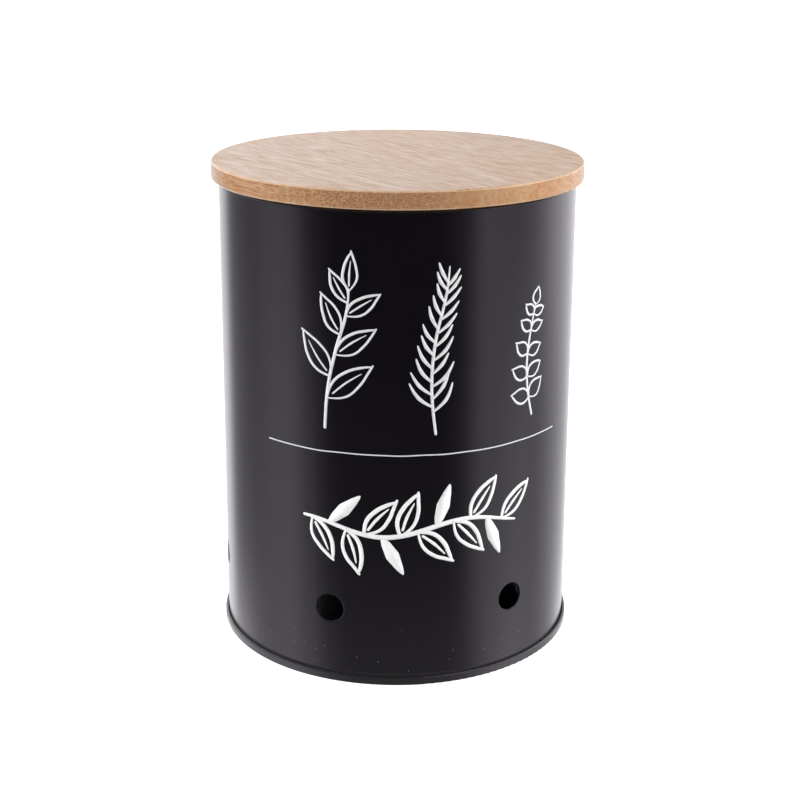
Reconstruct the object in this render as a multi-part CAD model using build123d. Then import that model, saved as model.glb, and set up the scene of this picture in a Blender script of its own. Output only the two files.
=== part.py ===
from build123d import *
import os
from math import acos, degrees, hypot, sqrt

# A garlic keeper: a vented tin can with a glued bamboo lid.
# Millimetres. The origin is the middle of the foot, +Z runs up the can's axis and the front faces -Y.

# ---------------------------------------------------------------- driving dimensions

# Overall
can_diameter = 125.0         # outside of the wall
keeper_height = 171.0        # foot to the top of the lid

# Sheet metal
wall_sheet = 0.3             # tinplate of the wall
base_sheet = 0.3             # tinplate of the base end

# Rolled edge at the can's mouth
curl_radius = 1.1            # outside of the roll
curl_end_gap = 0.3           # between the rolled sheet's end and the wall

# Vent holes, drawn inwards so that their edge is round
vent_count = 6
vent_diameter = 9.6
vent_height = 26.4           # foot to the middle of a hole
vent_edge_radius = 0.4       # rounding of the hole's outer edge
vent_collar_depth = 0.4      # how far the drawn edge reaches inside the wall
vent_collar_wall = 0.3       # thickness of the drawn edge

# Side weld, down the back of the wall
weld_width = 0.8
weld_rise = 0.1              # proud of the sheet, inside and outside
weld_end_gap = 0.4           # left free above the seam and below the curl

# Double seam of wall and base, which is the foot
seam_height = 3.0
seam_gap = 0.1               # compound between the folded layers
seam_foot_radius = 0.45      # bends at the foot, to the middle of the sheet
seam_top_radius = 0.25       # bends at the ironed top of the seam, to the middle of the sheet
hook_relief = 0.1            # room past the end of each hook

# Base end
base_recess = 3.6            # foot to the underside of the panel
panel_corner_radius = 1.0    # bend from the panel into the chuck wall
bead_diameter = 96.0         # stamped step that stiffens the panel
bead_step = 0.8              # how far the panel drops inside the step
bead_radius = 1.0            # bends of the step

# Lid ply
lid_overhang = 2.5           # past the wall, all round
lid_thickness = 6.2
lid_edge_radius = 0.7        # eased top and bottom edges
lid_seat_gap = 0.3           # between the lid and the curl that it rests on
grain_angle = -59.0          # run of the grain, degrees from +X
lid_first_strip = 7.1        # narrow strips, where the ply's two sides were turned away
lid_last_strip = 16.1
lid_whole_strips = 4         # equal strips between them

# Plug ply, glued crosswise under the lid
plug_depth = 8.0
plug_clearance = 1.8         # between the plug and the curl
plug_edge_radius = 0.8
plug_side_strip = 18.45      # both sides alike
plug_whole_strips = 3

# Seal and its groove
groove_drop = 1.0            # underside of the lid to the groove
groove_height = 4.0
groove_depth = 2.5
seal_bore_clearance = 0.3    # seal to the floor of the groove
seal_side_clearance = 0.1    # seal to each side of the groove
seal_mouth_clearance = 0.3   # tips of the lips to the curl
seal_band = 1.6              # thickness of the seal's band
lip_thickness = 0.7
lip_inset = 0.5              # band's edge to the root of a lip
lip_rise = 0.3               # tip of a lip above its root
lip_tip_radius = 0.25

# ---------------------------------------------------------------- worked-out places

# Radii from the inside of the seam outwards: chuck wall, can wall, cover hook, body hook, seaming wall
wall_outer = can_diameter / 2
wall_middle = wall_outer - wall_sheet / 2
wall_inner = wall_outer - wall_sheet
chuck_middle = wall_inner - seam_gap - base_sheet / 2
cover_hook_middle = wall_outer + seam_gap + base_sheet / 2
body_hook_middle = cover_hook_middle + base_sheet / 2 + seam_gap + wall_sheet / 2
seaming_middle = body_hook_middle + wall_sheet / 2 + seam_gap + base_sheet / 2

# Heights in the seam
foot_bend_top = base_sheet / 2 + seam_foot_radius
body_bend_radius = (body_hook_middle - wall_middle) / 2
body_bend_top = base_sheet + seam_gap + wall_sheet / 2 + body_bend_radius
cover_bend_foot = seam_height - base_sheet / 2 - seam_top_radius

# Can's mouth and lid
lid_bottom = keeper_height - lid_thickness
rim_top = lid_bottom - lid_seat_gap
curl_middle = curl_radius - wall_sheet / 2
curl_sweep = 360 - degrees(acos((curl_radius - wall_sheet - curl_end_gap) / curl_radius))
curl_centre_height = rim_top - curl_radius
mouth_radius = wall_outer - 2 * curl_radius
lid_radius = wall_outer + lid_overhang
plug_radius = mouth_radius - plug_clearance
groove_radius = plug_radius - groove_depth
groove_top = lid_bottom - groove_drop


# ---------------------------------------------------------------- helpers

def bent_sheet(start, heading, moves, thickness):
    """Cross-section of a bent sheet, as a face whose X is the radius and whose Y is the height.

    start is where the middle of the sheet begins and heading its direction in degrees. A move of one
    number is a straight run of that length. A move of two is a bend: its radius, to the middle of the
    sheet, and its angle, which is positive to the left.
    """
    half = thickness / 2
    point, angle = Vector(*start), heading
    left, right = [], []
    for move in moves:
        ahead = Vector(1, 0).rotate(Axis.Z, angle)
        side = Vector(0, 1).rotate(Axis.Z, angle)
        if len(move) == 1:
            end = point + ahead * move[0]
            left.append(Line(point + side * half, end + side * half))
            right.append(Line(point - side * half, end - side * half))
            point = end
        else:
            radius, turn = move
            hand = 1 if turn > 0 else -1
            centre = point + side * radius * hand
            arc_start = angle - 90 * hand
            left.append(CenterArc(centre, radius - half * hand, arc_start, turn))
            right.append(CenterArc(centre, radius + half * hand, arc_start, turn))
            point = centre + Vector(radius, 0).rotate(Axis.Z, arc_start + turn)
            angle += turn
    caps = [Line(left[0] @ 0, right[0] @ 0), Line(left[-1] @ 1, right[-1] @ 1)]
    return make_face(left + right + caps)


def turned(section):
    """Solid of revolution about the can's axis."""
    return revolve(Plane.XZ * section, axis=Axis.Z)


def ring(outer, inner, bottom, top):
    """Plain ring between two radii and two heights."""
    middle = Pos(0, 0, (bottom + top) / 2)
    return middle * Cylinder(outer, top - bottom) - middle * Cylinder(inner, top - bottom)


def joint_lines(radius, first_strip, last_strip, whole_strips):
    """Distances from the axis of the glue lines across a disc with equal strips between its side ones."""
    width = (2 * radius - first_strip - last_strip) / whole_strips
    return [first_strip - radius + index * width for index in range(whole_strips + 1)]


def cut_in_strips(disc, radius, lines, run_angle):
    """Cuts a disc along its glue lines and turns the strips to run at an angle from +X."""
    middle = disc.bounding_box().center().Z
    clear = 2 * radius
    edges = [-clear, *lines, clear]
    strips = []
    for near, far in zip(edges, edges[1:]):
        block = Pos((near + far) / 2, 0, middle) * Box(far - near, 2 * clear, clear)
        strips.append(Rot(0, 0, run_angle - 90) * (disc & block))
    return strips


def save(shape, node):
    """Writes one node's STEP file."""
    shape.label = node
    export_step(shape, f"parts/{node}.step")


# ---------------------------------------------------------------- the can

def can_body():
    """Rolled wall with its bottom hook, curled mouth, side weld and vent holes."""
    hook_top = cover_bend_foot - hook_relief
    moves = [
        (hook_top - body_bend_top,),
        (body_bend_radius, -180),
        (curl_centre_height - body_bend_top,),
        (curl_middle, curl_sweep),
    ]
    wall = turned(bent_sheet((body_hook_middle, hook_top), 270, moves, wall_sheet))
    return add_vents(wall + side_weld())


def side_weld():
    """Flattened weld bead, proud of the sheet on both sides, at the back."""
    bottom = seam_height + weld_end_gap
    top = curl_centre_height - weld_end_gap
    bead = ring(wall_outer + weld_rise, wall_inner - weld_rise, bottom, top)
    return bead & (Pos(0, wall_outer, (bottom + top) / 2) * Box(weld_width, wall_outer, top - bottom))


def add_vents(wall):
    """Draws the vent holes inwards and rounds their outer edges. Two holes flank the front."""
    hole_radius = vent_diameter / 2
    collar_radius = hole_radius + vent_collar_wall
    band = ring(wall_middle, wall_inner - vent_collar_depth, vent_height - collar_radius,
                vent_height + collar_radius)
    for index in range(vent_count):
        spoke = Rot(0, 0, (index + 0.5) * 360 / vent_count) * Pos(0, -wall_outer, vent_height)
        spoke *= Rot(90, 0, 0)
        wall += band & (spoke * Cylinder(collar_radius, wall_outer))
        wall -= spoke * Cylinder(hole_radius, wall_outer)
    return fillet(outer_hole_edges(wall, hole_radius), vent_edge_radius)


def outer_hole_edges(wall, hole_radius):
    """The closed edges where the vent holes break the outside of the wall."""
    found = []
    for edge in wall.edges():
        box = edge.bounding_box()
        upright = abs(box.size.Z - 2 * hole_radius) < wall_sheet
        point = edge @ 0.25
        if upright and abs(hypot(point.X, point.Y) - wall_outer) < wall_sheet / 10:
            found.append(edge)
    return ShapeList(found)


def base_end():
    """Pressed base: beaded panel, chuck wall, foot, seaming wall and cover hook."""
    panel_height = base_recess + base_sheet / 2
    step_turn = degrees(acos(1 - bead_step / (2 * bead_radius)))
    step_run = sqrt(bead_step * (4 * bead_radius - bead_step))
    step_start = bead_diameter / 2 - step_run
    moves = [
        (step_start,),
        (bead_radius, step_turn),
        (bead_radius, -step_turn),
        (chuck_middle - panel_corner_radius - bead_diameter / 2,),
        (panel_corner_radius, -90),
        (panel_height - panel_corner_radius - foot_bend_top,),
        (seam_foot_radius, 90),
        (seaming_middle - chuck_middle - 2 * seam_foot_radius,),
        (seam_foot_radius, 90),
        (cover_bend_foot - foot_bend_top,),
        (seam_top_radius, 90),
        (seaming_middle - cover_hook_middle - 2 * seam_top_radius,),
        (seam_top_radius, 90),
        (cover_bend_foot - body_bend_top - hook_relief,),
    ]
    return turned(bent_sheet((0, panel_height - bead_step), 0, moves, base_sheet))


# ---------------------------------------------------------------- the lid

def lid_strips():
    """Top ply of the lid, with its rim eased above and below, cut into its glued strips."""
    section = RectangleRounded(2 * lid_radius, lid_thickness, lid_edge_radius)
    section &= Pos(lid_radius, 0) * Rectangle(2 * lid_radius, lid_thickness)
    disc = turned(Pos(0, lid_bottom + lid_thickness / 2) * section)
    lines = joint_lines(lid_radius, lid_first_strip, lid_last_strip, lid_whole_strips)
    return cut_in_strips(disc, lid_radius, lines, grain_angle + 180)


def plug_strips():
    """Plug ply with the seal's groove turned into it, cut into strips that run across the lid's."""
    plug = Pos(0, 0, lid_bottom - plug_depth / 2) * Cylinder(plug_radius, plug_depth)
    plug = fillet(plug.edges().filter_by(GeomType.CIRCLE).sort_by(Axis.Z)[0], plug_edge_radius)
    plug -= ring(lid_radius, groove_radius, groove_top - groove_height, groove_top)
    lines = joint_lines(plug_radius, plug_side_strip, plug_side_strip, plug_whole_strips)
    return cut_in_strips(plug, plug_radius, lines, grain_angle + 90)


def seal_ring():
    """Silicone ring: a band in the groove and two thin lips that rise towards their tips."""
    band_inner = groove_radius + seal_bore_clearance
    band_outer = band_inner + seal_band
    band_bottom = groove_top - groove_height + seal_side_clearance
    band_top = groove_top - seal_side_clearance
    tip = mouth_radius - seal_mouth_clearance
    seal = turned(make_face(Polyline((band_inner, band_bottom), (band_outer, band_bottom),
                                     (band_outer, band_top), (band_inner, band_top), close=True)))
    for root in (band_bottom + lip_inset, band_top - lip_inset - lip_thickness):
        lip = make_face(Polyline((band_inner, root), (band_outer, root), (tip, root + lip_rise),
                                 (tip, root + lip_rise + lip_thickness), (band_outer, root + lip_thickness),
                                 (band_inner, root + lip_thickness), close=True))
        tips = lip.vertices().filter_by(lambda corner: abs(corner.X - tip) < lip_tip_radius)
        seal += turned(fillet(tips, lip_tip_radius))
    return seal


# ---------------------------------------------------------------- files

os.makedirs("parts", exist_ok=True)
save(can_body(), "can_body")
save(base_end(), "base_end")
save(seal_ring(), "seal_ring")
for number, strip in enumerate(lid_strips(), start=1):
    save(strip, f"lid_strip_{number}")
for number, strip in enumerate(plug_strips(), start=1):
    save(strip, f"plug_strip_{number}")
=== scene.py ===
"""Looks of a vented garlic keeper: a black tin with a glued bamboo lid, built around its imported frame.

Everything is in metres, in the frame of the CAD part: +Z runs up the can's axis and the front faces -Y.
Sizes written in millimetres pass through MM.
"""

import logging
import math
import random
from dataclasses import dataclass, field
from enum import Enum
from typing import Callable

import bpy
from mathutils import Matrix, Vector


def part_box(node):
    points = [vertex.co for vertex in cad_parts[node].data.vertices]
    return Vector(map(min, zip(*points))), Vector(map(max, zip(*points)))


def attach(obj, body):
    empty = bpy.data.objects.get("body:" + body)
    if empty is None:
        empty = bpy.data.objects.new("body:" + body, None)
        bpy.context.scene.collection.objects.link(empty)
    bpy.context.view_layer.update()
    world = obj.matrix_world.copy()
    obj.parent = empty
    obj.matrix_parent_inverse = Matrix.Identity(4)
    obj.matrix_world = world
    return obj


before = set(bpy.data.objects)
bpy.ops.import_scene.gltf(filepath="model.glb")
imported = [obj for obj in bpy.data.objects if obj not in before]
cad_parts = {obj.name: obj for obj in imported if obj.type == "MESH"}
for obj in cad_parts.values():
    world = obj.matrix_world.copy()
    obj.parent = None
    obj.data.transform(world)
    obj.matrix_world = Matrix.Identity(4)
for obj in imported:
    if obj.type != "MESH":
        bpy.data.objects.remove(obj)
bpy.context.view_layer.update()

MM = 0.001

logging.basicConfig(level=logging.INFO, format="%(levelname)s %(message)s")
log = logging.getLogger("garlic_keeper")

Ring = tuple[tuple[float, float], ...]      # degrees round the object, and brightness there
Path = tuple[tuple[float, float], ...]      # millimetres from the middle of the front, and up


# ---------------------------------------------------------------- small helpers

def linear(code: str) -> tuple[float, float, float, float]:
    """Turns an sRGB hex colour into the linear colour that a shader takes.

    Args:
        code: Six hex digits after a number sign.

    Returns:
        Linear red, green and blue, with full alpha.
    """
    shares = [int(code[place:place + 2], 16) / 255 for place in (1, 3, 5)]
    straight = [s / 12.92 if s <= 0.04045 else ((s + 0.055) / 1.055) ** 2.4 for s in shares]
    return (*straight, 1.0)


def add_node(
    tree: bpy.types.NodeTree,
    kind: str,
    sockets: dict[str | int, object] | None = None,
    **settings: object,
) -> bpy.types.Node:
    """Adds one shader node with its settings, values and links.

    Args:
        tree: The node tree that gets the node.
        kind: Blender's name for the node.
        sockets: What each input holds: a value, or an output socket to link from.
        settings: The node's own properties.

    Returns:
        The new node.
    """
    node = tree.nodes.new(kind)
    for name, value in settings.items():
        setattr(node, name, value)
    for name, value in (sockets or {}).items():
        if isinstance(value, bpy.types.NodeSocket):
            tree.links.new(value, node.inputs[name])
        else:
            node.inputs[name].default_value = value
    return node


def empty_material(name: str) -> bpy.types.Material:
    """Makes a material with an empty node tree.

    Args:
        name: The material's name.

    Returns:
        The material.
    """
    material = bpy.data.materials.new(name)
    material.use_nodes = True
    material.node_tree.nodes.clear()
    return material


def finish_material(
    material: bpy.types.Material, surface: bpy.types.NodeSocket
) -> bpy.types.Material:
    """Links a shader to the material's output and hands the material back."""
    add_node(material.node_tree, "ShaderNodeOutputMaterial", {"Surface": surface})
    return material


def dress(node: bpy.types.Object, material: bpy.types.Material) -> None:
    """Gives a piece one material all over."""
    node.data.materials.clear()
    node.data.materials.append(material)


def let_go() -> None:
    """Leaves edit mode and deselects everything."""
    if bpy.context.object and bpy.context.object.mode != "OBJECT":
        bpy.ops.object.mode_set(mode="OBJECT")
    bpy.ops.object.select_all(action="DESELECT")


def settle(piece: bpy.types.Object) -> None:
    """Puts a piece's place, turn and size into its mesh.

    Args:
        piece: The piece's object.
    """
    let_go()
    piece.select_set(True)
    bpy.context.view_layer.objects.active = piece
    bpy.ops.object.transform_apply(location=True, rotation=True, scale=True)
    piece.select_set(False)


# ---------------------------------------------------------------- finishes

@dataclass(frozen=True)
class SatinEnamel:
    """Black stoving enamel sprayed on tinplate: deep black, a satin gloss and a faint orange peel."""

    name: str = "black_stoving_enamel"
    colour: str = "#0c080f"
    gloss_tint: str = "#f9f1ff"     # the gloss is a shade cooler than white
    # grey of the dust specks, also used for the painted light in the corner over the seam
    speck_and_painted_light_colour: str = "#5b5856"
    roughness: float = 0.19
    roughness_swing: float = 0.025
    clouds: float = 45.0            # to the metre, of duller and glossier paint
    coat: float = 1.0
    coat_roughness: float = 0.19
    peel_size: float = 1.6          # millimetres between the ripples of the sprayed film
    peel_depth: float = 0.0012      # millimetres
    speck_size: float = 3.6         # millimetres between specks of dust caught in the film
    speck_share: float = 0.045      # radius of a speck, as a share of that
    speck_height: float = 26.0      # millimetres above the foot where the dust ends
    speck_thick: float = 0.3        # and how far up it is thick, as a share of that
    gloss: float = 0.5              # how much the film mirrors under its coat
    crease: float = 3.0             # millimetres above the foot: the corner over the seam
    crease_width: float = 1.0       # millimetres
    crease_painted_light: float = 0.35       # how much paler it is painted: painted light that lifts the shade in the corner

    def build(self) -> bpy.types.Material:
        """Makes the enamel.

        Returns:
            Its material.
        """
        material = empty_material(self.name)
        tree = material.node_tree
        place = add_node(tree, "ShaderNodeTexCoord").outputs["Object"]
        peel = add_node(tree, "ShaderNodeTexNoise", {
            "Vector": place, "Scale": 1 / (self.peel_size * MM), "Detail": 1.0, "Roughness": 0.4})
        cloud = add_node(tree, "ShaderNodeTexNoise", {
            "Vector": place, "Scale": self.clouds, "Detail": 3.0, "Roughness": 0.55})
        rough = add_node(tree, "ShaderNodeMapRange", {
            "Value": cloud.outputs["Fac"], "From Min": 0.3, "From Max": 0.7,
            "To Min": self.roughness - self.roughness_swing,
            "To Max": self.roughness + self.roughness_swing})
        dust = add_node(tree, "ShaderNodeTexVoronoi", {
            "Vector": place, "Scale": 1 / (self.speck_size * MM), "Randomness": 1.0})
        speck = add_node(tree, "ShaderNodeMapRange", {
            "Value": dust.outputs["Distance"], "From Min": self.speck_share,
            "From Max": 2 * self.speck_share, "To Min": 1.0, "To Max": 0.0})
        height = add_node(tree, "ShaderNodeSeparateXYZ", {"Vector": place}).outputs["Z"]
        low = add_node(tree, "ShaderNodeMapRange", {
            "Value": height, "From Min": self.speck_thick * self.speck_height * MM,
            "From Max": self.speck_height * MM, "To Min": 1.0, "To Max": 0.0})
        # Painted light: the corner over the seam is painted paler, to lift the shade that falls in it
        crease = add_node(tree, "ShaderNodeMapRange", {
            "Value": height, "From Min": (self.crease + self.crease_width) * MM,
            "From Max": self.crease * MM, "To Max": self.crease_painted_light})
        specks = add_node(tree, "ShaderNodeMath", {
            0: speck.outputs["Result"], 1: low.outputs["Result"]}, operation="MULTIPLY")
        # Real dust specks and the painted light in the corner share one paler colour
        specks_and_painted_light = add_node(tree, "ShaderNodeMath", {
            0: specks.outputs["Value"], 1: crease.outputs["Result"]}, operation="MAXIMUM")
        colour = add_node(tree, "ShaderNodeMix", {
            "Factor": specks_and_painted_light.outputs["Value"], "A": linear(self.colour),
            "B": linear(self.speck_and_painted_light_colour)}, data_type="RGBA")
        bump = add_node(tree, "ShaderNodeBump", {
            "Strength": 1.0, "Distance": self.peel_depth * MM, "Height": peel.outputs["Fac"]})
        shader = add_node(tree, "ShaderNodeBsdfPrincipled", {
            "Base Color": colour.outputs["Result"], "Roughness": rough.outputs["Result"],
            "IOR": 1.5, "Specular IOR Level": self.gloss,
            "Specular Tint": linear(self.gloss_tint), "Coat Weight": self.coat,
            "Coat Roughness": self.coat_roughness, "Coat IOR": 1.5,
            "Normal": bump.outputs["Normal"], "Coat Normal": bump.outputs["Normal"]})
        return finish_material(material, shader.outputs["BSDF"])


@dataclass(frozen=True)
class Cane:
    """What a strip keeps of the cane that it was cut from."""

    tone: float         # lightness among its neighbours
    bundles: float      # how dark its fibre bundles are, from 0 to 1
    bundle_gap: float   # millimetres between them


@dataclass(frozen=True)
class Disc:
    """A turned ply, in metres: its radius and the heights of its two faces."""

    radius: float
    low: float
    high: float


@dataclass(frozen=True)
class PressedBamboo:
    """Bamboo strip, sanded and oiled: streaks along its faces, a crowd of dark bundles on its ends."""

    name: str
    run: float                          # degrees from +X to the grain
    shift: tuple[float, float, float]   # millimetres, so that no two strips are cut from one cane
    cane: Cane
    disc: Disc
    pale: str = "#b69671"
    warm: str = "#a16832"
    bundle: str = "#854722"
    edge_highlight_colour: str = "#efd3b0"               # painted highlight on the eased edges, where they catch the light
    wander: tuple[float, float, float] = (0.0, 2.0, 1.2)    # how far a bundle strays, millimetres
    wander_length: float = 55.0
    wander_width: float = 30.0
    bundle_core: float = 0.22           # radius of a bundle's dark core and of its edge,
    bundle_edge: float = 0.46           # as shares of the gap between bundles
    inner_bundles: float = 0.75         # how much of their darkness is left at the strip's inner
    skin_bundles: float = 1.0           # face, and under its skin
    dash_length: float = 22.0
    dash_width: float = 3.0
    dash_rim: float = 0.85              # how much of a bundle is left between its dashes on the
    dash_face: float = 0.5              # rim, and on the faces
    fibre_length: float = 16.0
    fibre_gap: float = 0.35
    fibre_swing: float = 0.1            # how much the fibres lighten and darken the strip
    fibre_relief: float = 0.012
    streak_width: float = 1.3           # real fibres are finer: drawn this coarse so that they show
    streak_length: float = 10.5
    band_width: float = 6.0
    band_length: float = 60.0
    band_share: float = 0.25            # how much of the colour follows the bands
    hard_roughness: float = 0.28        # of the ground between the streaks
    open_roughness: float = 0.5         # of the streaks, which are open grain
    oil_roughness: float = 0.3
    sunken_oil: float = 0.6             # how much oil is left on top of a streak
    edge_ease: float = 0.7              # radius of the eased edges
    highlight_start: float = 0.88            # where the painted highlight starts and where it is full, measured in from the sharp corner in radii of the eased edge
    highlight_full: float = 0.72             # from the sharp corner in radii of the eased edge
    face_bundles: float = 0.35          # how dark they are on the planed faces, which tear them open
    rim_streaks: float = 0.8            # how much of the streaks is left on the sanded rim
    highlight_low: float = 0.3               # how strong the painted highlight is on the lower edge and on the upper one
    highlight_high: float = 0.36             # and from the upper one, where hands rub it

    def build(self) -> bpy.types.Material:
        """Makes the bamboo of one strip.

        Returns:
            Its material.
        """
        material = empty_material(self.name)
        tree = material.node_tree
        place = add_node(tree, "ShaderNodeTexCoord").outputs["Object"]
        # Millimetres, with X along the grain, Y across it and Z through the ply
        grain = add_node(tree, "ShaderNodeMapping", {
            "Vector": place, "Rotation": (0, 0, -math.radians(self.run)),
            "Scale": (1 / MM, 1 / MM, 1 / MM), "Location": self.shift}).outputs["Vector"]

        def noise(length: float, width: float, depth: float, detail: float = 2.0) -> bpy.types.Node:
            """Noise in patches of one size, in grain coordinates.

            Args:
                length: Along the grain, in millimetres.
                width: Across it.
                depth: Through the ply.
                detail: How many finer layers are laid over it.

            Returns:
                The noise node.
            """
            stretched = add_node(tree, "ShaderNodeMapping", {
                "Vector": grain, "Scale": (1 / length, 1 / width, 1 / depth)})
            return add_node(tree, "ShaderNodeTexNoise", {
                "Vector": stretched.outputs["Vector"], "Scale": 1.0, "Detail": detail,
                "Roughness": 0.6})

        normal = add_node(tree, "ShaderNodeNewGeometry").outputs["Normal"]
        upright = add_node(tree, "ShaderNodeSeparateXYZ", {"Vector": normal}).outputs["Z"]
        level = add_node(tree, "ShaderNodeMath", {0: upright}, operation="ABSOLUTE")
        face = add_node(tree, "ShaderNodeMapRange", {
            "Value": level.outputs["Value"], "From Min": 0.4, "From Max": 0.9}).outputs["Result"]
        bundle = self.bundles(tree, place, grain, face, noise)
        fibres = noise(self.fibre_length, self.fibre_gap, self.fibre_gap, 3.0)
        streaks = noise(self.streak_length, self.streak_width, self.streak_width, 2.5)
        planed = add_node(tree, "ShaderNodeMapRange", {
            "Value": streaks.outputs["Fac"], "From Min": 0.33, "From Max": 0.7})
        shown = add_node(tree, "ShaderNodeMapRange", {"Value": face, "To Min": self.rim_streaks})
        streak = add_node(tree, "ShaderNodeMix", {
            "Factor": shown.outputs["Result"], "A": 0.5, "B": planed.outputs["Result"]},
            data_type="FLOAT")
        bands = noise(self.band_length, self.band_width, self.band_width)
        band = add_node(tree, "ShaderNodeMapRange", {
            "Value": bands.outputs["Fac"], "From Min": 0.3, "From Max": 0.7})
        warmth = add_node(tree, "ShaderNodeMix", {
            "Factor": self.band_share, "A": streak.outputs["Result"],
            "B": band.outputs["Result"]}, data_type="FLOAT")
        ground = add_node(tree, "ShaderNodeMix", {
            "Factor": warmth.outputs["Result"], "A": linear(self.pale), "B": linear(self.warm)},
            data_type="RGBA")
        cane = add_node(tree, "ShaderNodeMix", {
            "Factor": bundle, "A": ground.outputs["Result"], "B": linear(self.bundle)},
            data_type="RGBA")
        light = add_node(tree, "ShaderNodeMapRange", {
            "Value": fibres.outputs["Fac"], "From Min": 0.25, "From Max": 0.75,
            "To Min": (1 - self.fibre_swing) * self.cane.tone,
            "To Max": (1 + self.fibre_swing) * self.cane.tone})
        toned = add_node(tree, "ShaderNodeVectorMath", {
            0: cane.outputs["Result"], "Scale": light.outputs["Result"]}, operation="SCALE")
        # Painted highlight: the eased edges are mixed towards a pale colour for the light that they
        # catch
        colour = add_node(tree, "ShaderNodeMix", {
            "Factor": self.painted_edge_highlight(tree, place), "A": toned.outputs["Vector"],
            "B": linear(self.edge_highlight_colour)}, data_type="RGBA")
        rough = add_node(tree, "ShaderNodeMapRange", {
            "Value": streak.outputs["Result"], "To Min": self.hard_roughness,
            "To Max": self.open_roughness})
        # The oil stands on the hard ground and sinks into the open streaks
        oil = add_node(tree, "ShaderNodeMapRange", {
            "Value": streak.outputs["Result"], "To Min": 1.0, "To Max": self.sunken_oil})
        relief = add_node(tree, "ShaderNodeBump", {
            "Strength": 0.6, "Distance": self.fibre_relief * MM, "Height": fibres.outputs["Fac"]})
        shader = add_node(tree, "ShaderNodeBsdfPrincipled", {
            "Base Color": colour.outputs["Result"], "Roughness": rough.outputs["Result"],
            "IOR": 1.52, "Coat Weight": oil.outputs["Result"],
            "Coat Roughness": self.oil_roughness, "Coat IOR": 1.5,
            "Normal": relief.outputs["Normal"], "Coat Normal": relief.outputs["Normal"]})
        return finish_material(material, shader.outputs["BSDF"])

    def bundles(self, tree: bpy.types.NodeTree, place: bpy.types.NodeSocket,
                grain: bpy.types.NodeSocket, face: bpy.types.NodeSocket,
                noise: Callable[..., bpy.types.Node]) -> bpy.types.NodeSocket:
        """Dark fibre bundles that run the strip's whole length: dots on its ends, dashes on its faces.

        Args:
            tree: The material's node tree.
            place: Object coordinates.
            grain: Grain coordinates in millimetres.
            face: 1 on the planed faces and 0 on the rim.
            noise: Makes noise of a length, width and depth.

        Returns:
            How much of a bundle there is, from 0 to 1.
        """
        drift = add_node(tree, "ShaderNodeVectorMath", {
            0: noise(self.wander_length, self.wander_width, self.wander_width).outputs["Color"],
            1: self.wander}, operation="MULTIPLY")
        strayed = add_node(tree, "ShaderNodeVectorMath", {0: grain, 1: drift.outputs["Vector"]})
        split = add_node(tree, "ShaderNodeSeparateXYZ", {"Vector": strayed.outputs["Vector"]})
        section = add_node(tree, "ShaderNodeCombineXYZ", {
            "X": split.outputs["Y"], "Y": split.outputs["Z"]})
        cells = add_node(tree, "ShaderNodeTexVoronoi", {
            "Vector": section.outputs["Vector"], "Scale": 1 / self.cane.bundle_gap,
            "Randomness": 0.8}, voronoi_dimensions="2D")
        # Bamboo is densest under its skin, which lies upwards in the lid
        height = add_node(tree, "ShaderNodeSeparateXYZ", {"Vector": place}).outputs["Z"]
        dense = add_node(tree, "ShaderNodeMapRange", {
            "Value": height, "From Min": self.disc.low, "From Max": self.disc.high,
            "To Min": self.inner_bundles * self.cane.bundles,
            "To Max": self.skin_bundles * self.cane.bundles})
        share = add_node(tree, "ShaderNodeMix", {
            "Factor": face, "A": dense.outputs["Result"], "B": self.face_bundles},
            data_type="FLOAT")
        dot = add_node(tree, "ShaderNodeMapRange", {
            "Value": cells.outputs["Distance"], "From Min": self.bundle_core,
            "From Max": self.bundle_edge, "To Min": share.outputs["Result"], "To Max": 0.0})
        dashes = noise(self.dash_length, self.dash_width, self.dash_width)
        left = add_node(tree, "ShaderNodeMapRange", {
            "Value": face, "To Min": self.dash_rim, "To Max": self.dash_face})
        dash = add_node(tree, "ShaderNodeMapRange", {
            "Value": dashes.outputs["Fac"], "From Min": 0.35, "From Max": 0.55,
            "To Min": left.outputs["Result"]})
        return add_node(tree, "ShaderNodeMath", {
            0: dot.outputs["Result"], 1: dash.outputs["Result"]}, operation="MULTIPLY").outputs["Value"]

    def painted_edge_highlight(self, tree: bpy.types.NodeTree, place: bpy.types.NodeSocket) -> bpy.types.NodeSocket:
        """Painted highlights: pale lines on the middle of the eased edges, top and bottom, where they
        catch the light.

        Args:
            tree: The material's node tree.
            place: Object coordinates.

        Returns:
            How much painted highlight a place gets, from 0 to 1.
        """
        ease = self.edge_ease * MM
        split = add_node(tree, "ShaderNodeSeparateXYZ", {"Vector": place})
        level = add_node(tree, "ShaderNodeVectorMath", {0: place, 1: (1, 1, 0)}, operation="MULTIPLY")
        reach = add_node(tree, "ShaderNodeVectorMath", {0: level.outputs["Vector"]}, operation="LENGTH")
        middle = (self.disc.low + self.disc.high) / 2
        rise = add_node(tree, "ShaderNodeMath", {0: split.outputs["Z"], 1: middle},
                        operation="SUBTRACT")
        height = add_node(tree, "ShaderNodeMath", {0: rise.outputs["Value"]}, operation="ABSOLUTE")
        total = add_node(tree, "ShaderNodeMath", {
            0: height.outputs["Value"], 1: reach.outputs["Value"]})
        corner = self.disc.radius + (self.disc.high - self.disc.low) / 2
        # Strength of the painted highlight, lower edge to upper edge
        highlight_share = add_node(tree, "ShaderNodeMapRange", {
            "Value": rise.outputs["Value"], "From Min": -MM, "From Max": MM,
            "To Min": self.highlight_low, "To Max": self.highlight_high})
        return add_node(tree, "ShaderNodeMapRange", {
            "Value": total.outputs["Value"], "From Min": corner - self.highlight_start * ease,
            "From Max": corner - self.highlight_full * ease,
            "To Max": highlight_share.outputs["Result"]}).outputs["Result"]


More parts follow.
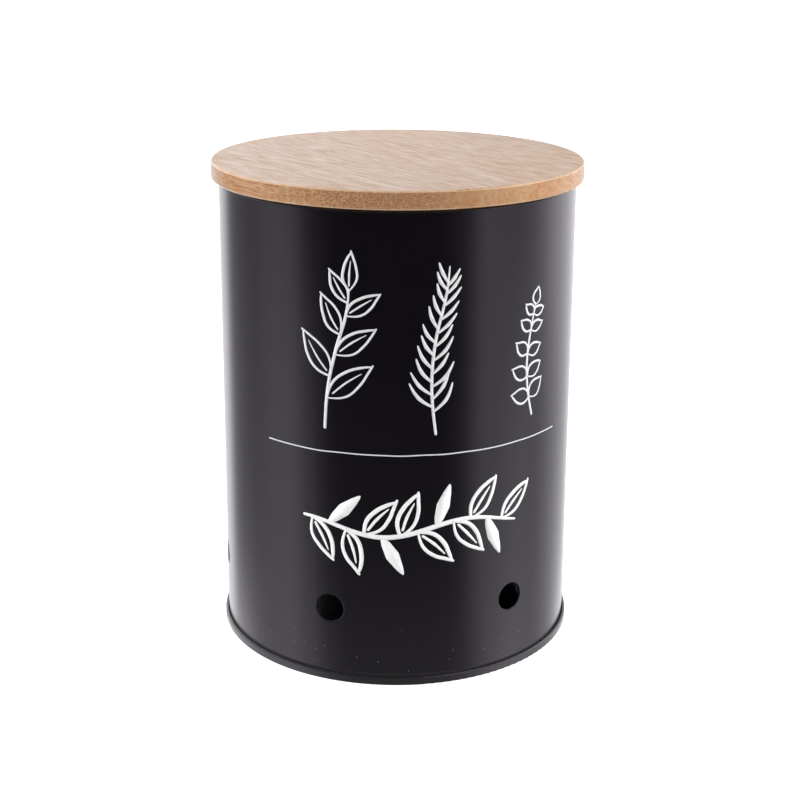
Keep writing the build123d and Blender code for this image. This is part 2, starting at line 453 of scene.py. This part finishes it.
@dataclass(frozen=True)
class MouldedSilicone:
    """Food-grade silicone, moulded: milky, a little translucent and matt."""

    colour: str = "#dcd9d0"
    bloom_colour: str = "#c9c5ba"
    bloom: float = 160.0            # patches of bloom to the metre
    bleed: float = 1.2              # millimetres that light runs inside it

    def build(self) -> bpy.types.Material:
        """Makes the silicone.

        Returns:
            Its material.
        """
        material = empty_material("moulded_silicone")
        tree = material.node_tree
        place = add_node(tree, "ShaderNodeTexCoord").outputs["Object"]
        bloom = add_node(tree, "ShaderNodeTexNoise", {
            "Vector": place, "Scale": self.bloom, "Detail": 2.0})
        tint = add_node(tree, "ShaderNodeMix", {
            "Factor": bloom.outputs["Fac"], "A": linear(self.colour),
            "B": linear(self.bloom_colour)}, data_type="RGBA")
        rough = add_node(tree, "ShaderNodeMapRange", {
            "Value": bloom.outputs["Fac"], "To Min": 0.45, "To Max": 0.6})
        shader = add_node(tree, "ShaderNodeBsdfPrincipled", {
            "Base Color": tint.outputs["Result"], "Roughness": rough.outputs["Result"], "IOR": 1.41,
            "Subsurface Weight": 0.35, "Subsurface Radius": (0.6, 0.55, 0.5),
            "Subsurface Scale": self.bleed * MM})
        return finish_material(material, shader.outputs["BSDF"])


@dataclass(frozen=True)
class ScreenInk:
    """White screen-printing ink on enamel: flat, nearly matt, a little thin in places."""

    name: str
    colour: str
    thin_colour: str
    mesh_marks: float = 900.0       # to the metre, left by the screen's mesh

    def build(self) -> bpy.types.Material:
        """Makes the ink.

        Returns:
            Its material.
        """
        material = empty_material(self.name)
        tree = material.node_tree
        place = add_node(tree, "ShaderNodeTexCoord").outputs["Object"]
        marks = add_node(tree, "ShaderNodeTexNoise", {
            "Vector": place, "Scale": self.mesh_marks, "Detail": 2.0, "Roughness": 0.6})
        cover = add_node(tree, "ShaderNodeMapRange", {
            "Value": marks.outputs["Fac"], "From Min": 0.25, "From Max": 0.5})
        colour = add_node(tree, "ShaderNodeMix", {
            "Factor": cover.outputs["Result"], "A": linear(self.thin_colour),
            "B": linear(self.colour)}, data_type="RGBA")
        rough = add_node(tree, "ShaderNodeMapRange", {
            "Value": marks.outputs["Fac"], "To Min": 0.45, "To Max": 0.6})
        shader = add_node(tree, "ShaderNodeBsdfPrincipled", {
            "Base Color": colour.outputs["Result"], "Roughness": rough.outputs["Result"],
            "IOR": 1.5})
        return finish_material(material, shader.outputs["BSDF"])


# ---------------------------------------------------------------- the tin

@dataclass
class Can:
    """The painted tin: rolled wall with its vents, and the double-seamed base end."""

    wall: str = "can_body"
    end: str = "base_end"
    wall_enamel: SatinEnamel = field(default_factory=SatinEnamel)
    # The end is lacquered flat and then pressed and rolled, which blurs and brightens its gloss. Its
    # colour is painted a shade paler than the wall's black: painted light for the light that the rolled
    # ring catches.
    end_enamel: SatinEnamel = field(default_factory=lambda: SatinEnamel(
        name="black_stoving_enamel_end", colour="#19161b", roughness=0.3, coat_roughness=0.3,
        gloss=0.95, crease_painted_light=0.0))

    def dress(self) -> None:
        """Paints the wall and the base end."""
        for name, enamel in ((self.wall, self.wall_enamel), (self.end, self.end_enamel)):
            dress(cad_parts[name], enamel.build())
            log.info("%s: painted", name)


# ---------------------------------------------------------------- the lid

class Ply(Enum):
    """The two crossed plies of the lid, with the run of their grain in degrees from +X."""

    LID = -59.0
    PLUG = 31.0


@dataclass
class Lid:
    """The bamboo lid: its top ply and the plug ply glued crosswise under it."""

    seed: int = 7
    apart: float = 300.0            # millimetres that two strips' canes may lie apart, each way
    # One for each strip in order; the plug takes the first five again
    canes: tuple[Cane, ...] = (
        Cane(0.99, 0.7, 0.64), Cane(0.99, 0.85, 0.6), Cane(0.99, 0.25, 0.6), Cane(1.05, 0.55, 0.62),
        Cane(1.06, 0.5, 0.7), Cane(0.98, 0.6, 0.7))

    def dress(self) -> None:
        """Gives each strip bamboo of its own."""
        draw = random.Random(self.seed)
        for ply, start in ((Ply.LID, "lid_strip"), (Ply.PLUG, "plug_strip")):
            names = sorted(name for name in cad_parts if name.startswith(start))
            disc = self.ply_disc(names)
            for name, cane in zip(names, self.canes):
                shift = tuple(draw.uniform(-self.apart, self.apart) for _ in range(3))
                bamboo = PressedBamboo(f"pressed_bamboo_{name}", ply.value, shift, cane, disc)
                dress(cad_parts[name], bamboo.build())
                log.info("%s: bamboo", name)

    @staticmethod
    def ply_disc(names: list[str]) -> Disc:
        """The disc that some strips make together.

        Args:
            names: The strips' nodes.

        Returns:
            Its radius and heights.
        """
        boxes = [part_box(name) for name in names]
        radius = max(high.x for _, high in boxes)
        return Disc(radius, min(low.z for low, _ in boxes), max(high.z for _, high in boxes))


@dataclass
class Seal:
    """The silicone seal in the plug's groove."""

    node: str = "seal_ring"
    silicone: MouldedSilicone = field(default_factory=MouldedSilicone)

    def dress(self) -> None:
        """Gives the seal its silicone."""
        dress(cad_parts[self.node], self.silicone.build())
        log.info("%s: silicone", self.node)


# ---------------------------------------------------------------- the print

@dataclass(frozen=True)
class Stroke:
    """One stroke of the brush, flat on the unrolled wall.

    points are where it runs and widths how wide it is at each of them, all in millimetres.
    """

    points: Path
    widths: tuple[float, ...]


def tapered(points: list[tuple[float, float]], width: float, start: float = 0.6,
            end: float = 0.6) -> Stroke:
    """A stroke that is widest in its middle.

    Args:
        points: Where it runs.
        width: Its width in the middle.
        start: Width at its start, as a share of that.
        end: Width at its end, as a share of that.

    Returns:
        The stroke.
    """
    last = len(points) - 1
    widths = []
    for place in range(len(points)):
        along = place / last
        edge = start if along < 0.5 else end
        widths.append(width * (edge + (1 - edge) * math.sin(math.pi * along) ** 0.7))
    return Stroke(tuple(points), tuple(widths))


@dataclass(frozen=True)
class Sprig:
    """A stem and how its leaves stand on it, in millimetres and degrees."""

    stem: Path
    stem_pen: float                 # width of the stem's line
    leaves: int                     # how many of them, or of their pairs
    first: float                    # where the lowest stands, as a share of the stem's run
    step: float                     # how much further up each next one stands
    length: float                   # of the lowest
    shorter: float                  # how much each one is shorter than the one below
    spread: float                   # between the stem and the lowest
    closer: float                   # how much each one stands closer than the one below
    pen: float                      # width of a leaf's line
    paired: bool = True             # leaves stand in pairs, or else by turns
    plump: float = 0.0              # a leaf's width, as a share of its length
    ribbed: bool = False
    tip: tuple[float, float] = (0.0, 0.0)       # length and width of the leaf at the end
    tip_turn: float = 0.0           # and how far that one leans to the left

    def sides(self, index: int) -> tuple[int, ...]:
        """Sides of the stem that have a leaf at one place: 1 is the left, seen along it."""
        return (-1, 1) if self.paired else (1 if index % 2 else -1,)


@dataclass(frozen=True)
class Garland:
    """Bold leaves by turns above and below a waving stem, in millimetres and degrees."""

    span: tuple[int, int, int] = (-42, 35, 4)   # its stem's points: from, up to, and how far apart
    height: float = 56.5
    wave: float = 2.6               # how far the stem rises and falls
    reach: float = 9.0              # length of a wave, over two pi
    stem_pen: float = 1.7
    leaves: int = 12
    first: float = 0.04             # where the first leaf stands, as a share of the stem's run
    step: float = 0.08
    spread: float = 58.0            # between the stem and a leaf
    pen: float = 1.5
    leaf: tuple[float, float] = (16.0, 6.4)     # length and width
    pressed: tuple[float, float] = (15.0, 4.6)  # the same of a filled one


@dataclass
class Print:
    """White prints on the front of the wall: herb sprigs, a thin rule and a garland of leaves."""

    body: str = "can"
    wall: str = "can_body"
    slot: str = "white_ink"
    film: float = 0.05 * MM         # thickness of the ink
    seed: int = 4
    drawing_ink: ScreenInk = ScreenInk("screen_ink_drawing", "#dadadc", "#c6c6c9")
    border_ink: ScreenInk = ScreenInk("screen_ink_border", "#f0f0f0", "#e0e0e0")
    plain_wall: tuple[float, float] = (0.03, 0.15)      # heights where its radius is taken, metres
    slip: float = 0.12              # millimetres that the hand strays
    # How a stroke rounds off: how far past its end, in half widths, and how wide it is there
    round_end: Path = ((0.7, 0.72), (1.0, 0.15))
    bay: Sprig = Sprig(
        stem=((-34, 91), (-33, 104), (-30, 118), (-26.5, 130), (-25.5, 138)), stem_pen=1.1,
        leaves=6, first=0.2, step=0.135, length=19.0, shorter=1.4, spread=48.0, closer=2.0,
        pen=0.95, paired=False, plump=0.4, ribbed=True, tip=(12.5, 5.2), tip_turn=4.0)
    rosemary: Sprig = Sprig(
        stem=((3, 90), (1.5, 105), (2.5, 121), (6, 137), (7, 146)), stem_pen=1.0,
        leaves=11, first=0.14, step=0.07, length=11.09, shorter=0.455, spread=49.76, closer=1.12,
        pen=1.25)
    needle_lengths: tuple[float, float] = (0.85, 1.1)   # between which they differ, as shares
    needle_stray: float = 5.0       # degrees that a needle may stand off its place
    needle_bend: float = 26.0       # degrees between the stem and a needle's outer half
    needle_gap: float = 0.7         # millimetres between the stem's middle and a needle's root
    thyme: Sprig = Sprig(
        stem=((41, 91), (38.5, 101), (38, 112), (40, 123), (41.5, 129)), stem_pen=0.95,
        leaves=5, first=0.16, step=0.18, length=8.6, shorter=0.8, spread=62.0, closer=0.0,
        pen=0.85, plump=0.66, tip=(6.0, 4.2))
    rule_span: tuple[int, int, int] = (-57, 56, 7)      # its points: from, up to, how far apart
    rule_height: float = 82.8
    rule_width: float = 0.42
    band: Garland = Garland()

    def build(self) -> None:
        """Draws the sprigs, the rule and the garland."""
        chance = random.Random(self.seed)
        drawing, border = self.drawing_ink.build(), self.border_ink.build()
        self.draw("print_bay_sprig", self.leafy_sprig(self.bay, chance), drawing)
        self.draw("print_rosemary_sprig", self.needle_sprig(self.rosemary, chance), drawing)
        self.draw("print_thyme_sprig", self.leafy_sprig(self.thyme, chance), drawing)
        self.draw("print_rule", [self.rule(chance)], drawing)
        self.draw("print_garland", self.garland(chance), border)

    def leaf(self, root: Vector, turn: float, length: float, width: float, pen: float,
             chance: random.Random, rib: bool = True) -> list[Stroke]:
        """Outlines one pointed leaf, as a quick hand would.

        Args:
            root: Where it grows from.
            turn: Degrees from the wall's horizontal to its tip.
            length: Root to tip.
            width: Across its middle.
            pen: Width of the line.
            chance: Draws the small slips of the hand.
            rib: Whether it has a middle rib.

        Returns:
            Its strokes.
        """
        along = Vector((math.cos(math.radians(turn)), math.sin(math.radians(turn))))
        across = Vector((-along.y, along.x))

        def at(far: float, out: float) -> tuple[float, float]:
            """A point of the leaf, in shares of its length and half width."""
            slip = Vector((chance.uniform(-1, 1), chance.uniform(-1, 1))) * self.slip
            return tuple(root + along * far * length + across * out * width / 2 + slip)

        upper = [at(0, 0), at(0.26, 0.82), at(0.58, 0.86), at(0.85, 0.4), at(1.0, 0.0)]
        lower = [at(0, 0), at(0.3, -0.86), at(0.62, -0.8), at(0.88, -0.3), at(1.03, 0.02)]
        strokes = [tapered(upper, pen, 0.7, 0.5), tapered(lower, pen * 0.85, 0.5, 0.7)]
        if rib:
            middle = [at(0.14, 0.0), at(0.45, 0.1), at(0.78, 0.02)]
            strokes.append(tapered(middle, pen * 0.7, 0.8, 0.3))
        return strokes

    @staticmethod
    def along_stem(stem: list[Vector], share: float) -> tuple[Vector, float]:
        """Finds a place on a stem.

        Args:
            stem: The stem's points.
            share: How far along it, from 0 to 1.

        Returns:
            The place, and the stem's heading there in degrees.
        """
        spot = share * (len(stem) - 1)
        index = min(int(spot), len(stem) - 2)
        step = stem[index + 1] - stem[index]
        return stem[index] + step * (spot - index), math.degrees(math.atan2(step.y, step.x))

    def stem_stroke(self, stem: list[Vector], pen: float) -> Stroke:
        """The line of a stem."""
        return tapered([tuple(point) for point in stem], pen, 0.9, 0.4)

    def leafy_sprig(self, sprig: Sprig, chance: random.Random) -> list[Stroke]:
        """A sprig with outlined leaves and one more at its tip.

        Args:
            sprig: The stem and its leaves.
            chance: Draws the small slips of the hand.

        Returns:
            Its strokes.
        """
        stem = [Vector(point) for point in sprig.stem]
        strokes = [self.stem_stroke(stem, sprig.stem_pen)]
        for index in range(sprig.leaves):
            root, heading = self.along_stem(stem, sprig.first + sprig.step * index)
            length = sprig.length - sprig.shorter * index
            for side in sprig.sides(index):
                turn = heading + side * (sprig.spread - sprig.closer * index)
                strokes += self.leaf(root, turn, length, sprig.plump * length, sprig.pen, chance,
                                     sprig.ribbed)
        root, heading = self.along_stem(stem, 1.0)
        return strokes + self.leaf(root, heading + sprig.tip_turn, *sprig.tip, sprig.pen, chance,
                                   sprig.ribbed)

    def needle_sprig(self, sprig: Sprig, chance: random.Random) -> list[Stroke]:
        """A sprig with bent needles, each one pull of the brush.

        Args:
            sprig: The stem and its needles.
            chance: Draws how the needles differ.

        Returns:
            Its strokes.
        """
        stem = [Vector(point) for point in sprig.stem]
        strokes = [self.stem_stroke(stem, sprig.stem_pen)]
        for index in range(sprig.leaves):
            root, heading = self.along_stem(stem, sprig.first + sprig.step * index)
            for side in sprig.sides(index):
                half = (sprig.length - sprig.shorter * index) * chance.uniform(*self.needle_lengths) / 2
                stray = chance.uniform(-self.needle_stray, self.needle_stray)
                turn = math.radians(heading + side * (sprig.spread - sprig.closer * index + stray))
                bend = math.radians(heading + side * self.needle_bend)
                start = root + Vector((0, side * self.needle_gap))
                knee = start + Vector((math.cos(turn), math.sin(turn))) * half
                tip = knee + Vector((math.cos(bend), math.sin(bend))) * half
                needle = [tuple(start), tuple(knee), tuple(tip)]
                strokes.append(tapered(needle, sprig.pen, 0.5, 0.35))
        return strokes

    def rule(self, chance: random.Random) -> Stroke:
        """The thin line under the sprigs.

        Args:
            chance: Draws the small slips of the hand.

        Returns:
            Its stroke.
        """
        points = [(x, self.rule_height + chance.uniform(-self.slip, self.slip))
                  for x in range(*self.rule_span)]
        return Stroke(tuple(points), tuple(self.rule_width for _ in points))

    def garland(self, chance: random.Random) -> list[Stroke]:
        """The band of bold leaves, low on the front.

        Args:
            chance: Draws the small slips of the hand.

        Returns:
            Its strokes.
        """
        band = self.band
        stem = [Vector((x, band.height + band.wave * math.sin(x / band.reach)))
                for x in range(*band.span)]
        strokes = [tapered([tuple(point) for point in stem], band.stem_pen, 0.6, 0.4)]
        for index in range(band.leaves):
            root, heading = self.along_stem(stem, band.first + band.step * index)
            side = 1 if index % 2 else -1
            turn = heading + side * band.spread
            if index % 3 == 1:
                strokes.append(self.solid_leaf(root, turn, *band.pressed))
            else:
                strokes += self.leaf(root, turn, *band.leaf, band.pen, chance)
        return strokes

    @staticmethod
    def solid_leaf(root: Vector, turn: float, length: float, width: float) -> Stroke:
        """A leaf filled in with one press of the brush.

        Args:
            root: Where it grows from.
            turn: Degrees from the wall's horizontal to its tip.
            length: Root to tip.
            width: Across its middle.

        Returns:
            Its stroke.
        """
        along = Vector((math.cos(math.radians(turn)), math.sin(math.radians(turn))))
        points = [tuple(root + along * length * share) for share in (0.0, 0.2, 0.5, 0.8, 1.0)]
        return Stroke(tuple(points), tuple(width * share for share in (0.2, 0.7, 1.0, 0.6, 0.12)))

    def wall_radius(self) -> float:
        """Outside of the wall, on its plain front.

        Returns:
            Its radius in metres.
        """
        low, high = self.plain_wall
        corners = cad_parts[self.wall].data.vertices
        middle = [c.co for c in corners if low < c.co.z < high and c.co.y < 0]
        return max(math.hypot(c.x, c.y) for c in middle)

    def draw(self, name: str, strokes: list[Stroke], ink: bpy.types.Material) -> None:
        """Lays strokes on the wall as one thin film of ink.

        Args:
            name: The piece's name.
            strokes: What is drawn.
            ink: Its material.
        """
        let_go()
        # A brush: a flat nib, one millimetre wide, that each stroke drags along its path
        bpy.ops.mesh.primitive_plane_add(size=1.0, location=(0, 0, 0))
        nib = bpy.context.object
        bpy.ops.object.mode_set(mode="EDIT")
        bpy.ops.mesh.delete(type="ONLY_FACE")
        bpy.ops.mesh.select_all(action="SELECT")
        bpy.ops.transform.resize(value=(MM, 0, 1), center_override=(0, 0, 0))
        bpy.ops.mesh.remove_doubles(threshold=0.01 * MM)
        bpy.ops.object.mode_set(mode="OBJECT")
        bpy.ops.object.convert(target="CURVE")
        nib = bpy.context.object

        let_go()
        bpy.ops.curve.primitive_bezier_curve_add(rotation=(math.pi / 2, 0, 0))
        path = bpy.context.object
        path.name = name
        curve = path.data
        curve.splines.clear()
        curve.twist_mode = "Z_UP"
        curve.resolution_u = 6
        curve.bevel_mode = "OBJECT"
        curve.bevel_object = nib
        for stroke in strokes:
            self.add_spline(curve, stroke)
        path.select_set(True)
        bpy.context.view_layer.objects.active = path
        bpy.ops.object.convert(target="MESH")
        film = bpy.context.object
        settle(film)
        self.wrap(film)
        dress(film, ink)
        bpy.data.objects.remove(nib)
        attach(film, self.body)
        log.info("%s: %d strokes", name, len(strokes))

    def add_spline(self, curve: bpy.types.Curve, stroke: Stroke) -> None:
        """Adds one stroke to a curve, with round ends.

        Args:
            curve: The curve that gets it.
            stroke: What is drawn.
        """
        places, widths = list(stroke.points), list(stroke.widths)
        for end, other in ((0, 1), (-1, -2)):
            away = Vector(places[end]) - Vector(places[other])
            away.normalize()
            root, half = Vector(places[end]), widths[end] / 2
            nibs = [(tuple(root + away * half * out), widths[end] * wide)
                    for out, wide in self.round_end]
            for place, width in nibs:
                index = 0 if end == 0 else len(places)
                places.insert(index, place)
                widths.insert(index, width)
        spline = curve.splines.new("BEZIER")
        spline.bezier_points.add(len(places) - 1)
        for point, place, width in zip(spline.bezier_points, places, widths):
            point.co = (place[0] * MM, place[1] * MM, 0)
            point.handle_left_type = point.handle_right_type = "AUTO"
            point.radius = width

    def wrap(self, film: bpy.types.Object) -> None:
        """Thickens a flat film and rolls it round the wall.

        Args:
            film: The film's object, which stands flat in the plane of X and Z.
        """
        radius = self.wall_radius()
        let_go()
        film.select_set(True)
        bpy.context.view_layer.objects.active = film
        bpy.ops.object.mode_set(mode="EDIT")
        bpy.ops.mesh.select_all(action="SELECT")
        bpy.ops.mesh.remove_doubles(threshold=0.001 * MM)
        if film.data.polygons[0].normal.y > 0:
            bpy.ops.mesh.flip_normals()
        bpy.ops.object.mode_set(mode="OBJECT")
        wide = [corner.co.x for corner in film.data.vertices]
        roll = film.modifiers.new("roll", "SIMPLE_DEFORM")
        roll.deform_method = "BEND"
        roll.deform_axis = "Z"
        roll.angle = (max(wide) - min(wide)) / radius
        bpy.ops.object.modifier_apply(modifier=roll.name)
        thick = film.modifiers.new("thick", "SOLIDIFY")
        thick.thickness = self.film
        thick.offset = 1.0
        bpy.ops.object.modifier_apply(modifier=thick.name)
        bpy.ops.object.mode_set(mode="EDIT")
        bpy.ops.mesh.select_all(action="SELECT")
        bpy.ops.transform.translate(value=(0, -radius, 0))
        bpy.ops.object.mode_set(mode="OBJECT")


# ---------------------------------------------------------------- the studio

@dataclass(frozen=True)
class SoftBox:
    """One lamp that faces the object."""

    name: str
    around: float                   # degrees round the object from the camera, to the right
    up: float                       # degrees above the horizon
    away: float                     # metres from what it faces
    size: tuple[float, float]       # width and height of its face
    power: float                    # watts


@dataclass
class Studio:
    """Pale sweep, soft lamps, the room that glossy surfaces mirror, and the camera."""

    heading: float = math.radians(-9.17)    # the camera's turn about the can, from the front
    tilt: float = math.radians(15.98)       # below the horizon
    roll: float = 0.0053                    # radians
    distance: float = 0.5554                # from the can's axis, level
    height: float = 0.2634
    focal: float = 2.0                      # in widths of the frame, like the two shifts
    shift_up: float = -0.075
    shift_across: float = 0.0041
    sensor: float = 36.0                    # millimetres
    nearest: float = 0.01                   # what is closer than this isn't drawn
    floor_size: float = 8.0
    floor_colour: str = "#e9e9e9"
    floor_glow: float = 0.8                 # added for the eye only, so that the floor stays white
    lamps: tuple[SoftBox, ...] = (
        SoftBox("left_soft_box", -88, 17, 1.1, (0.8, 0.55), 10.3),
        SoftBox("right_soft_box", 88, 17, 1.1, (0.8, 0.55), 11.0),
        SoftBox("top_soft_box", 80, 65, 0.9, (0.5, 0.5), 1.0))
    lamps_face: float = 0.09                # height of the middle of the object
    # What a glossy surface sees, by degrees round the object from the camera: white sweep behind,
    # soft boxes beside and a dark room in front. At the foot it is seen steeply from above, halfway
    # up less so, at the rim flatly, and the sky is all above the horizon.
    seen_at_foot: Ring = (
        (-180, 1.0), (-135, 1.35), (-122, 1.2), (-107, 0.8), (-92, 0.68), (-72, 0.84), (-58, 0.72),
        (-44, 0.36), (-30, 0.24), (28, 0.26), (44, 0.28), (56, 0.44), (68, 0.88), (84, 1.0), (98, 0.72),
        (112, 0.56), (124, 0.56), (135, 0.74), (147, 1.4), (165, 1.2), (180, 1.0))
    seen_halfway: Ring = (
        (-180, 1.0), (-145, 1.0), (-134, 0.38), (-122, 0.3), (-104, 0.32), (-84, 0.6), (-70, 0.7),
        (-57, 0.27), (-42, 0.03), (30, 0.015), (44, 0.09), (57, 0.56), (68, 0.54), (80, 0.62),
        (92, 0.6), (104, 0.44), (116, 0.55), (138, 0.7), (152, 0.78), (163, 0.98), (180, 1.0))
    seen_at_rim: Ring = (
        (-180, 1.0), (-145, 0.9), (-134, 0.3), (-122, 0.24), (-104, 0.25), (-84, 0.48), (-70, 0.45),
        (-57, 0.05), (-40, 0.012), (30, 0.015), (44, 0.09), (57, 0.55), (68, 0.46), (80, 0.36),
        (92, 0.42), (104, 0.66), (116, 0.95), (180, 1.0))
    seen_in_sky: Ring = (
        (-180, 0.7), (-175, 0.8), (-165, 0.85), (-150, 1.0), (-125, 0.8), (-105, 0.45), (-80, 0.3),
        (-58, 0.08), (40, 0.06), (56, 0.4), (72, 0.5), (88, 0.3), (105, 0.5), (130, 0.8), (150, 0.6),
        (165, 0.5), (176, 0.62), (180, 0.7))
    # Degrees above the horizon between which one of them gives way to the next
    sky_to_rim: tuple[float, float] = (6, -6)
    rim_to_halfway: tuple[float, float] = (-12, -18)
    halfway_to_foot: tuple[float, float] = (-18, -27.5)
    foot_to_glow: tuple[float, float] = (-33, -50)
    lag: float = 5.0                        # towards the foot the change is slow, and then fast
    floor_cast: tuple[float, float, float] = (1.015, 0.99, 1.04)    # the sweep's cool tint
    sky_peak: float = 1.35                  # brightness of what counts as 1 in the sky
    foot_glow: float = 0.15                 # the floor right at the object's foot
    day_light: float = 0.75                 # even light from all round, for matt surfaces

    def build(self) -> None:
        """Lays the floor, sets the lamps and places the camera."""
        self.lay_floor()
        self.light_world()
        self.hang_lamps()
        self.place_camera()

    def lay_floor(self) -> None:
        """A wide pale floor that stays white around the object and keeps its soft shadow."""
        let_go()
        bpy.ops.mesh.primitive_plane_add(size=self.floor_size, location=(0, 0, 0))
        floor = bpy.context.object
        floor.name = "floor"
        material = empty_material("white_sweep")
        tree = material.node_tree
        rays = add_node(tree, "ShaderNodeLightPath")
        white = add_node(tree, "ShaderNodeMath", {
            0: rays.outputs["Is Camera Ray"], 1: self.floor_glow}, operation="MULTIPLY")
        glow = add_node(tree, "ShaderNodeEmission", {
            "Color": (1, 1, 1, 1), "Strength": white.outputs["Value"]})
        paper = add_node(tree, "ShaderNodeBsdfDiffuse", {"Color": linear(self.floor_colour)})
        seen = add_node(tree, "ShaderNodeAddShader", {
            0: glow.outputs["Emission"], 1: paper.outputs["BSDF"]})
        # Reflections look through it, at the studio that the world holds
        through = add_node(tree, "ShaderNodeBsdfTransparent")
        both = add_node(tree, "ShaderNodeMixShader", {
            0: rays.outputs["Is Glossy Ray"], 1: seen.outputs["Shader"],
            2: through.outputs["BSDF"]})
        dress(floor, finish_material(material, both.outputs["Shader"]))

    def light_world(self) -> None:
        """White for the eye, even light for matt surfaces, and the studio for glossy ones."""
        world = bpy.data.worlds.new("white_studio")
        bpy.context.scene.world = world
        world.use_nodes = True
        world.cycles.sampling_method = "NONE"
        tree = world.node_tree
        tree.nodes.clear()
        rays = add_node(tree, "ShaderNodeLightPath")
        white = add_node(tree, "ShaderNodeMath", {
            0: rays.outputs["Is Camera Ray"], 1: rays.outputs["Is Transmission Ray"]},
            operation="MAXIMUM")
        plain = add_node(tree, "ShaderNodeMapRange", {
            "Value": white.outputs["Value"], "To Min": self.day_light, "To Max": 1.0})
        light = add_node(tree, "ShaderNodeMix", {
            "Factor": rays.outputs["Is Glossy Ray"], "A": plain.outputs["Result"],
            "B": self.studio_seen(tree)}, data_type="RGBA")
        sky = add_node(tree, "ShaderNodeBackground", {
            "Color": light.outputs["Result"], "Strength": 1.0})
        add_node(tree, "ShaderNodeOutputWorld", {"Surface": sky.outputs["Background"]})

    def studio_seen(self, tree: bpy.types.NodeTree) -> bpy.types.NodeSocket:
        """Light that the studio sends from a direction.

        Args:
            tree: The world's node tree.

        Returns:
            Its colour, with 1 for white.
        """
        way = add_node(tree, "ShaderNodeTexCoord").outputs["Generated"]
        turned = add_node(tree, "ShaderNodeMapping", {
            "Vector": way, "Rotation": (0, 0, -self.heading)}).outputs["Vector"]
        split = add_node(tree, "ShaderNodeSeparateXYZ", {"Vector": turned})
        front = add_node(tree, "ShaderNodeMath", {0: split.outputs["Y"], 1: -1.0}, operation="MULTIPLY")
        angle = add_node(tree, "ShaderNodeMath", {
            0: split.outputs["X"], 1: front.outputs["Value"]}, operation="ARCTAN2")
        share = add_node(tree, "ShaderNodeMapRange", {
            "Value": angle.outputs["Value"], "From Min": -math.pi, "From Max": math.pi})

        def ring(stops: Ring, cast: tuple[float, float, float]) -> bpy.types.NodeSocket:
            """One ring of the studio.

            Args:
                stops: Brightness by degrees round the object.
                cast: Red, green and blue that the brightness is multiplied by.

            Returns:
                The ring's colour in the direction that is looked at.
            """
            ramp = add_node(tree, "ShaderNodeValToRGB", {"Fac": share.outputs["Result"]})
            for _ in stops[2:]:
                ramp.color_ramp.elements.new(0.5)
            for element, (degrees, seen) in zip(ramp.color_ramp.elements, stops):
                element.position = (degrees + 180) / 360
                element.color = (*(seen * part for part in cast), 1)
            return ramp.outputs["Color"]

        def between(start: float, end: float) -> bpy.types.NodeSocket:
            """How far the direction looked at is from one elevation to another.

            Args:
                start: Degrees above the horizon where it is 0.
                end: Degrees above the horizon where it is 1.

            Returns:
                A share from 0 to 1.
            """
            return add_node(tree, "ShaderNodeMapRange", {
                "Value": split.outputs["Z"], "From Min": math.sin(math.radians(start)),
                "From Max": math.sin(math.radians(end))}).outputs["Result"]

        def mixed(factor: bpy.types.NodeSocket, first: object, last: object) -> bpy.types.NodeSocket:
            """One light that gives way to another."""
            return add_node(tree, "ShaderNodeMix", {"Factor": factor, "A": first, "B": last},
                            data_type="RGBA").outputs["Result"]

        sky = add_node(tree, "ShaderNodeVectorMath", {
            0: ring(self.seen_in_sky, (1, 1, 1)), "Scale": self.sky_peak}, operation="SCALE")
        floor = mixed(between(*self.rim_to_halfway), ring(self.seen_at_rim, self.floor_cast),
                      ring(self.seen_halfway, self.floor_cast))
        late = add_node(tree, "ShaderNodeMath", {
            0: between(*self.halfway_to_foot), 1: self.lag}, operation="POWER")
        floor = mixed(late.outputs["Value"], floor, ring(self.seen_at_foot, self.floor_cast))
        floor = mixed(between(*self.foot_to_glow), floor, (*(self.foot_glow,) * 3, 1))
        return mixed(between(*self.sky_to_rim), sky.outputs["Vector"], floor)

    def hang_lamps(self) -> None:
        """A large soft box on each side and a weaker one overhead."""
        middle = Vector((0, 0, self.lamps_face))
        for box in self.lamps:
            turn, rise = self.heading + math.radians(box.around), math.radians(box.up)
            aim = Vector((math.sin(turn) * math.cos(rise), -math.cos(turn) * math.cos(rise),
                          math.sin(rise)))
            let_go()
            bpy.ops.object.light_add(type="AREA", location=middle + aim * box.away,
                                     rotation=aim.to_track_quat("Z", "Y").to_euler())
            lamp = bpy.context.object
            lamp.name = box.name
            lamp.data.shape = "RECTANGLE"
            lamp.data.size, lamp.data.size_y = box.size
            lamp.data.energy = box.power
            # Reflections see the soft boxes that the world holds instead
            lamp.visible_glossy = False

    def place_camera(self) -> None:
        """Camera in front, a little to the left and above, aimed down at the can."""
        turn = (Matrix.Rotation(self.heading, 3, "Z")
                @ Matrix.Rotation(math.pi / 2 - self.tilt, 3, "X")
                @ Matrix.Rotation(self.roll, 3, "Z"))
        let_go()
        bpy.ops.object.camera_add(
            location=(self.distance * math.sin(self.heading),
                      -self.distance * math.cos(self.heading), self.height),
            rotation=turn.to_euler())
        camera = bpy.context.object
        camera.name = "camera"
        camera.data.sensor_width = self.sensor
        camera.data.lens = self.focal * self.sensor
        camera.data.shift_x = self.shift_across
        camera.data.shift_y = self.shift_up
        camera.data.clip_start = self.nearest
        bpy.context.scene.camera = camera


# ---------------------------------------------------------------- all of it

def main() -> None:
    """Builds and dresses the keeper piece by piece, then sets up the studio."""
    Can().dress()
    Lid().dress()
    Seal().dress()
    Print().build()
    Studio().build()
    bpy.context.scene.view_settings.view_transform = "Standard"


if __name__ == "__main__":
    main()
